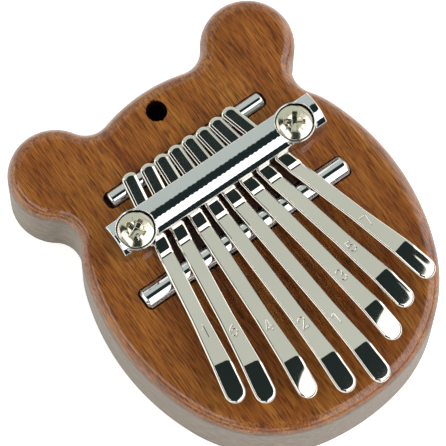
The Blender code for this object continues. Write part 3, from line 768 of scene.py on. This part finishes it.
def arc(c, r, a0, a1, clockwise):
    """Points and outward normals; a hollow arc has its normal to its centre."""
    if clockwise:
        while a1 > a0:
            a1 -= 2 * math.pi
    else:
        while a1 < a0:
            a1 += 2 * math.pi
    n = max(3, int(math.ceil(abs(a1 - a0) / math.radians(3.0))), int(abs(a1 - a0) * r / 1.0))
    sign = 1 if clockwise else -1
    out = []
    for i in range(n):
        t = a0 + (a1 - a0) * i / n
        out.append(((c[0] + r * math.cos(t), c[1] + r * math.sin(t)), (sign * math.cos(t), sign * math.sin(t))))
    return out


def body_outline():
    """Clockwise points with outward normals, mirrored about X = 0."""
    valley = meet(CROWN_C, CROWN_R + EAR_VALLEY_R, EAR_C, EAR_R + EAR_VALLEY_R, 1)
    reach = CHEEK_R - TEMPLE_R
    temple = (CHEEK_C[0] + reach * math.cos(TEMPLE_END), CHEEK_C[1] + reach * math.sin(TEMPLE_END))
    neck = max(meet(EAR_C, EAR_R + NECK_R, temple, TEMPLE_R + NECK_R, side) for side in (1, -1))
    jaw = meet(CHEEK_C, CHEEK_R - JAW_R, CHIN_C, CHIN_R - JAW_R, -1)
    half = []
    half += arc(CROWN_C, CROWN_R, math.pi / 2, angle(CROWN_C, valley), True)
    half += arc(valley, EAR_VALLEY_R, angle(valley, CROWN_C), angle(valley, EAR_C), False)
    half += arc(EAR_C, EAR_R, angle(EAR_C, valley), angle(EAR_C, neck), True)
    half += arc(neck, NECK_R, angle(neck, EAR_C), angle(neck, temple), False)
    half += arc(temple, TEMPLE_R, angle(temple, neck), TEMPLE_END, True)
    half += arc(CHEEK_C, CHEEK_R, TEMPLE_END, angle(CHEEK_C, jaw), True)
    half += arc(jaw, JAW_R, angle(CHEEK_C, jaw), angle(CHIN_C, jaw), True)
    half += arc(CHIN_C, CHIN_R, angle(CHIN_C, jaw), -math.pi / 2, True)
    end = [((0.0, CHIN_C[1] - CHIN_R), (0.0, -1.0))]
    left = [((-p[0], p[1]), (-n[0], n[1])) for p, n in reversed(half[1:])]
    return half + end + left


def slot_outline(x0, x1, y0, y1, r, centre, yaw, seed):
    """Counter-clockwise points and inward-facing wall normals, with torn fibres."""
    rng = np.random.RandomState(seed)
    pts = []
    for cx, cyy, start in ((x1 - r, y0 + r, -0.5), (x1 - r, y1 - r, 0.0),
                           (x0 + r, y1 - r, 0.5), (x0 + r, y0 + r, 1.0)):
        for i in range(11):
            t = math.pi * (start + 0.05 * i)
            pts.append((cx + r * math.cos(t), cyy + r * math.sin(t), math.cos(t), math.sin(t)))
    out = []
    for a, b in zip(pts, pts[1:] + pts[:1]):
        out.append(a)
        gap = math.hypot(b[0] - a[0], b[1] - a[1])
        n = int(gap / 0.35)
        for i in range(1, n):
            out.append(tuple(a[k] + (b[k] - a[k]) * i / n for k in range(4)))
    c, s = math.cos(yaw), math.sin(yaw)
    res = []
    for x, y, nx, ny in out:
        jag = rng.uniform(-0.05, 0.09) * abs(ny)
        dx, dy = x - centre[0], y - centre[1]
        res.append((centre[0] + dx * c - dy * s, centre[1] + dx * s + dy * c, nx * c - ny * s, nx * s + ny * c, jag))
    return res


def build_body(mat):
    line = body_outline()
    n = len(line)
    verts, normals, faces = [], [], []

    def ring(inset, z, tilt):
        """tilt is the angle of the normal over the horizontal."""
        base = len(verts)
        for p, q in line:
            verts.append((p[0] - q[0] * inset, p[1] - q[1] * inset, z))
            normals.append((q[0] * math.cos(tilt), q[1] * math.cos(tilt), math.sin(tilt)))
        return base

    rows = []
    for i in range(5):
        t = math.pi / 2 * i / 4
        rows.append(ring(BOTTOM_ROUND * (1 - math.sin(t)), BOTTOM_ROUND * (1 - math.cos(t)), -(math.pi / 2 - t)))
    for k in range(1, 8):
        rows.append(ring(0.0, BOTTOM_ROUND + (BODY_T - TOP_ROUND - BOTTOM_ROUND) * k / 8, 0.0))
    for i in range(15):
        t = math.pi / 2 * i / 14
        rows.append(ring(TOP_ROUND * (1 - math.cos(t)), BODY_T - TOP_ROUND * (1 - math.sin(t)), t))
    for a, b in zip(rows[:-1], rows[1:]):
        for i in range(n):
            j = (i + 1) % n
            faces.append((a + i, b + i, b + j, a + j))

    def hole(outline, floor, top=BODY_T, rim=0.12, jag_depth=0.5):
        """Rim, wall and floor; returns the loop in the top face."""
        m = len(outline)
        rows = []
        levels = [(rim * (1 - math.sin(t)), rim * (1 - math.cos(t)), t) for t in
                  [math.pi / 2 * i / 4 for i in range(5)]]
        for off, dep, t in levels:
            base = len(verts)
            for x, y, nx, ny, jag in outline:
                o = off + jag
                verts.append((x + nx * o, y + ny * o, top - dep))
                normals.append((-nx * math.sin(t), -ny * math.sin(t), math.cos(t)))
            rows.append(base)
        for dep, keep in ((rim + jag_depth * 0.5, 0.5), (rim + jag_depth, 0.0)) if floor is not None else ():
            base = len(verts)
            for x, y, nx, ny, jag in outline:
                verts.append((x + nx * jag * keep, y + ny * jag * keep, top - dep))
                normals.append((-nx, -ny, 0.0))
            rows.append(base)
        base = len(verts)
        for x, y, nx, ny, jag in outline:
            verts.append((x, y, floor))
            normals.append((-nx, -ny, 0.0))
        rows.append(base)
        for a, b in zip(rows[:-1], rows[1:]):
            for i in range(m):
                j = (i + 1) % m
                faces.append((a + i, a + j, b + j, b + i))
        return rows[0], rows[-1], m

    def inside(poly, px, py):
        hit = np.zeros(len(px), bool)
        for (x0, y0), (x1, y1) in zip(poly, poly[1:] + poly[:1]):
            if y0 != y1:
                hit ^= ((y0 > py) != (y1 > py)) & (px < (x1 - x0) * (py - y0) / (y1 - y0) + x0)
        return hit

    def cap(loops, z, up):
        """Flat face inside the first loop and outside the others."""
        pts, edges = [], []
        for loop in loops:
            b = len(pts)
            pts += [Vector(p) for p in loop]
            edges += [(b + i, b + (i + 1) % len(loop)) for i in range(len(loop))]
        vs, _, tris, _, _, _ = delaunay_2d_cdt(pts, edges, [], 0, 1e-7)
        cx = np.array([sum(vs[i][0] for i in t) / 3 for t in tris])
        cyy = np.array([sum(vs[i][1] for i in t) / 3 for t in tris])
        keep = inside(loops[0], cx, cyy)
        for loop in loops[1:]:
            keep &= ~inside(loop, cx, cyy)
        base = len(verts)
        for v in vs:
            verts.append((v[0], v[1], z))
            normals.append((0, 0, 1 if up else -1))
        for t, k in zip(tris, keep):
            if k:
                idx = [i + base for i in t]
                faces.append(tuple(idx if up else idx[::-1]))

    def xy(base, m):
        return [(verts[base + i][0], verts[base + i][1]) for i in range(m)]

    tops = []
    c0, f0, m0 = hole(slot_outline(REAR_SLOT[0], REAR_SLOT[1], 21.30, 25.42, 1.5, (0, 0), 0.0, 3), BODY_T + REAR_ROD_C[2] - REAR_ROD_D / 2 - 0.3)
    tops.append(xy(c0, m0))
    cap([xy(f0, m0)], verts[f0][2], True)
    c0, f0, m0 = hole(slot_outline(-27.75, 27.80, -2.68, 2.76, 1.3, FRONT_ROD_C, FRONT_ROD_YAW, 5),
                      BODY_T + FRONT_ROD_C[2] - FRONT_ROD_D / 2 - 0.3)
    tops.append(xy(c0, m0))
    cap([xy(f0, m0)], verts[f0][2], True)
    for _, x, y, _ in SCREWS:
        loop = [(x + SHANK_HOLE_D / 2 * math.cos(2 * math.pi * i / 40),
                 y + SHANK_HOLE_D / 2 * math.sin(2 * math.pi * i / 40),
                 math.cos(2 * math.pi * i / 40), math.sin(2 * math.pi * i / 40), 0.0) for i in range(40)]
        c0, f0, m0 = hole(loop, BODY_T - PILOT_DEPTH, rim=0.08)
        tops.append(xy(c0, m0))
        cap([xy(f0, m0)], verts[f0][2], True)

    # hanging hole, right through; its fibres tore out where the drill crossed them
    rng = np.random.RandomState(11)
    m = 132
    teeth = rng.uniform(-0.30, 0.62, 60)
    r = HOLE_D / 2

    def tear(x, far):
        i = (x / 0.17) + 30
        k = int(math.floor(i))
        a, b = teeth[k % 60], teeth[(k + 1) % 60]
        t = i - k
        return (a + (b - a) * t) * (1.0 if far else 0.8)

    top_loop, low_loop = [], []
    for i in range(m):
        t = 2 * math.pi * i / m
        cx, sx = math.cos(t), math.sin(t)
        o = tear(r * cx * (1 if sx > 0 else 1.07) + (0 if sx > 0 else 3.1), sx > 0) * abs(sx) ** 0.7
        top_loop.append((HOLE_C[0] + r * cx, HOLE_C[1] + r * sx + math.copysign(o, sx), cx, sx))
        low_loop.append((HOLE_C[0] + r * cx, HOLE_C[1] + r * sx, cx, sx))
    rows = []
    for pts, z, keep, tilt in ((top_loop, BODY_T, 1.0, 1.2), (top_loop, BODY_T - 0.12, 1.0, 0.3),
                               (top_loop, BODY_T - 0.5, 0.6, 0.0), (top_loop, BODY_T - 1.5, 0.15, 0.0),
                               (low_loop, BODY_T - 2.2, 0.0, 0.0), (low_loop, BODY_T / 2, 0.0, 0.0),
                               (low_loop, 0.15, 0.0, 0.0), (low_loop, 0.0, 0.0, -1.0)):
        base = len(verts)
        for p, q in zip(pts, low_loop):
            verts.append((q[0] + (p[0] - q[0]) * keep, q[1] + (p[1] - q[1]) * keep, z))
            normals.append((-p[2] * math.cos(tilt), -p[3] * math.cos(tilt), math.sin(tilt)))
        rows.append(base)
    for a, b in zip(rows[:-1], rows[1:]):
        for i in range(m):
            j = (i + 1) % m
            faces.append((a + i, a + j, b + j, b + i))
    tops.append(xy(rows[0], m))

    rim = [(p[0] - q[0] * TOP_ROUND, p[1] - q[1] * TOP_ROUND) for p, q in line]
    cap([rim] + tops, BODY_T, True)
    low = [(p[0] - q[0] * BOTTOM_ROUND, p[1] - q[1] * BOTTOM_ROUND) for p, q in line]
    cap([low, xy(rows[-1], m)], 0.0, False)
    lo, hi = np.array(CAD_BOX[0]) / MM, np.array(CAD_BOX[1]) / MM
    verts = np.clip(np.array(verts), lo, hi)
    ob = mesh_object("body_carved", verts, faces, mat, normals)
    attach(ob, "instrument")
    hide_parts("body")
    return ob


# -------------------------------------------------------------------- stage
WHITE, GREY, DARK, SIDE, LEFT, LOW = 2.6, 0.80, 0.035, 1.7, 1.8, 0.03
BACK_EDGE, BACK_LEAN = 19.5, 2.0
FRONT_EDGE, FRONT_TILT, FRONT_LEFT = 20.0, -0.5, 0.15
RIGHT_EDGE, LEFT_LOW = 32.0, 60.0


def build_floor():
    bm = bmesh.new()
    r = 3.0
    vs = [bm.verts.new((r * math.cos(2 * math.pi * i / 64), r * math.sin(2 * math.pi * i / 64), 0.0)) for i in range(64)]
    bm.faces.new(vs)
    me = bpy.data.meshes.new("floor")
    bm.to_mesh(me)
    bm.free()
    ob = bpy.data.objects.new("floor", me)
    bpy.context.scene.collection.objects.link(ob)
    ob.location = (0, 0, -0.00005)
    mat, nd, lk = new_material("floor_paper")
    out = add(nd, "ShaderNodeOutputMaterial")
    bs = add(nd, "ShaderNodeBsdfPrincipled", {"Base Color": (0.93, 0.93, 0.93, 1), "Roughness": 0.9,
                                              "Emission Color": (1, 1, 1, 1), "Emission Strength": 0.62})
    # painted shadow: the paper's glow is turned off under the hanging hole, where the block shades it and it is seen
    # through the hole
    tc = add(nd, "ShaderNodeTexCoord")
    away = add(nd, "ShaderNodeVectorMath", operation="DISTANCE")
    away.inputs[1].default_value = (HOLE_C[0] * MM, HOLE_C[1] * MM, 0.0)
    lk.new(tc.outputs["Object"], away.inputs[0])
    glow = add(nd, "ShaderNodeMapRange", {"From Min": 0.0045, "From Max": 0.0055, "To Max": 0.62})
    lk.new(away.outputs["Value"], glow.inputs["Value"])
    lk.new(glow.outputs["Result"], bs.inputs["Emission Strength"])
    lk.new(bs.outputs["BSDF"], out.inputs["Surface"])
    me.materials.append(mat)


def build_world():
    """A light tent: grey wall behind, white ones in front and at the left, dark overhead.

    A direction is placed on a flat map: its angle from overhead, in degrees,
    laid out towards its compass direction.
    """
    world = bpy.data.worlds.new("studio")
    bpy.context.scene.world = world
    world.use_nodes = True
    nt = world.node_tree
    nt.nodes.clear()
    nd, lk = nt.nodes, nt.links

    def plug(socket, value):
        if isinstance(value, (int, float)):
            socket.default_value = value
        else:
            lk.new(value, socket)

    def calc(op, a, b=0.0, c=None):
        n = add(nd, "ShaderNodeMath", operation=op)
        plug(n.inputs[0], a)
        if op not in ("SQRT", "ARCCOSINE", "ABSOLUTE"):
            plug(n.inputs[1], b)
        if c is not None:
            plug(n.inputs[2], c)
        return n.outputs[0]

    def step(x, lo, hi):
        """0 below lo, 1 above hi, smooth between."""
        n = add(nd, "ShaderNodeMapRange", {"From Min": lo, "From Max": hi}, interpolation_type="SMOOTHSTEP")
        lk.new(x, n.inputs["Value"])
        return n.outputs["Result"]

    def mixed(a, b, fac):
        """a where fac is 0, b where it is 1."""
        return calc("ADD", calc("MULTIPLY", a, calc("SUBTRACT", 1.0, fac)), calc("MULTIPLY", b, fac))

    tc = add(nd, "ShaderNodeTexCoord")
    sep = add(nd, "ShaderNodeSeparateXYZ")
    lk.new(tc.outputs["Generated"], sep.inputs["Vector"])
    dx, dy, dz = sep.outputs
    flat = calc("SQRT", calc("ADD", calc("MULTIPLY", dx, dx), calc("MULTIPLY", dy, dy)))
    theta = calc("MULTIPLY", calc("ARCCOSINE", dz), 180 / math.pi)
    k = calc("DIVIDE", theta, calc("MAXIMUM", flat, 1e-4))
    mx, my = calc("MULTIPLY", dx, k), calc("MULTIPLY", dy, k)

    # grey wall behind; its lower edge rises to the left
    lean = calc("MAXIMUM", calc("MULTIPLY", calc("ADD", mx, 3.0), -1.0), 0.0)
    back = step(calc("SUBTRACT", my, calc("MULTIPLY", lean, BACK_LEAN)), BACK_EDGE - 1.5, BACK_EDGE + 1.5)
    light = mixed(DARK, GREY, back)
    # white wall in front, from straight ahead round to the right
    aim = calc("SUBTRACT", calc("MULTIPLY", my, -1.0), calc("MULTIPLY", mx, FRONT_TILT))
    front = calc("MULTIPLY", step(aim, FRONT_EDGE - 1.5, FRONT_EDGE + 1.5),
                 step(calc("ADD", calc("ADD", mx, calc("MULTIPLY", my, FRONT_LEFT)),
                           calc("MULTIPLY", calc("MAXIMUM", calc("SUBTRACT", -33.0, my), 0.0), 0.75)), -1.5, 1.5))
    right = step(calc("ADD", mx, calc("MULTIPLY", calc("MAXIMUM", my, 0.0), 0.15)), RIGHT_EDGE - 3, RIGHT_EDGE + 3)
    side = mixed(SIDE, 0.62 * SIDE, step(my, 1.0, 8.0))
    light = mixed(light, side, calc("MULTIPLY", right, calc("SUBTRACT", 1.0, back)))
    light = mixed(light, WHITE, front)
    # white wall at the left, low down
    low = calc("MULTIPLY", step(theta, LEFT_LOW - 4, LEFT_LOW + 4), step(calc("MULTIPLY", mx, -1.0), 20.0, 30.0))
    light = mixed(light, LEFT, low)
    # and a part of it that reaches higher, seen in the screws
    high = calc("MULTIPLY", step(calc("MULTIPLY", mx, -1.0), 23.0, 27.0), step(calc("SUBTRACT", 30.0, my), -2.0, 2.0))
    high = calc("MULTIPLY", high, step(calc("SUBTRACT", my, calc("MULTIPLY", mx, 0.75)), -2.0, 2.0))
    high = calc("MULTIPLY", high, step(mx, -44.0, -41.0))
    light = mixed(light, WHITE, high)
    # everything near the horizon in front falls off to the dim table edge
    light = mixed(light, LOW, calc("MULTIPLY", step(theta, 75.5, 78.5), step(calc("MULTIPLY", my, -1.0), 5.0, 20.0)))
    tint = ramp(nd, ((0.012, (0.62, 1.0, 1.03)), (0.20, (0.95, 1.05, 0.985)), (0.40, (0.95, 1.05, 0.985)), (0.8, 1.0)))
    lk.new(calc("DIVIDE", light, WHITE), tint.inputs["Fac"])
    bg = add(nd, "ShaderNodeBackground")
    lk.new(tint.outputs["Color"], bg.inputs["Color"])
    lk.new(light, bg.inputs["Strength"])
    out = add(nd, "ShaderNodeOutputWorld")
    lk.new(bg.outputs["Background"], out.inputs["Surface"])


def build_camera():
    az, el, roll = math.radians(-37.54), math.radians(74.30), math.radians(-2.07)
    v = Vector((math.sin(az) * math.cos(el), -math.cos(az) * math.cos(el), math.sin(el)))
    r0 = Vector((math.cos(az), math.sin(az), 0))
    u0 = Vector((-math.sin(az) * math.sin(el), math.cos(az) * math.sin(el), math.cos(el)))
    r = r0 * math.cos(roll) - u0 * math.sin(roll)
    u = r0 * math.sin(roll) + u0 * math.cos(roll)
    o = Vector((0, 4.670, 1.045))
    pos = o + (r * -8.80 + u * 17.49 + v * 3929.0) / 4.4
    data = bpy.data.cameras.new("camera")
    data.lens = 36.0 * 3929.0 / 446.0
    data.sensor_width = 36.0
    data.clip_start, data.clip_end = 0.01, 20.0
    cam = bpy.data.objects.new("camera", data)
    bpy.context.scene.collection.objects.link(cam)
    rot = Matrix((r, u, v)).transposed().to_4x4()
    cam.matrix_world = Matrix.Translation(pos * MM) @ rot
    bpy.context.scene.camera = cam


WOOD = wood_material()
CHROME = metal_material("chrome_plate", (0.62, 0.62, 0.62), 0.06, 40.0)
NICKEL = metal_material("nickel_plate", (0.66, 0.61, 0.49), 0.15, 60.0)
STEEL = metal_material("spring_steel", (0.687, 0.637, 0.568), 0.07, 50.0, scratch=0.08)

build_camera()
build_body(WOOD)
build_rod("rear_rod", REAR_ROD_D, REAR_ROD_L, 0.3, REAR_ROD_C, CHROME)
build_rod("front_rod", FRONT_ROD_D, FRONT_ROD_L, 0.55, FRONT_ROD_C, CHROME, FRONT_ROD_YAW)
build_bar(CHROME)
for row in SCREWS:
    build_screw(*row, NICKEL)
for row in TINES:
    build_tine(*row, STEEL)
build_floor()
build_world()
bpy.context.scene.view_settings.view_transform = "Standard"

bpy.context.view_layer.update()
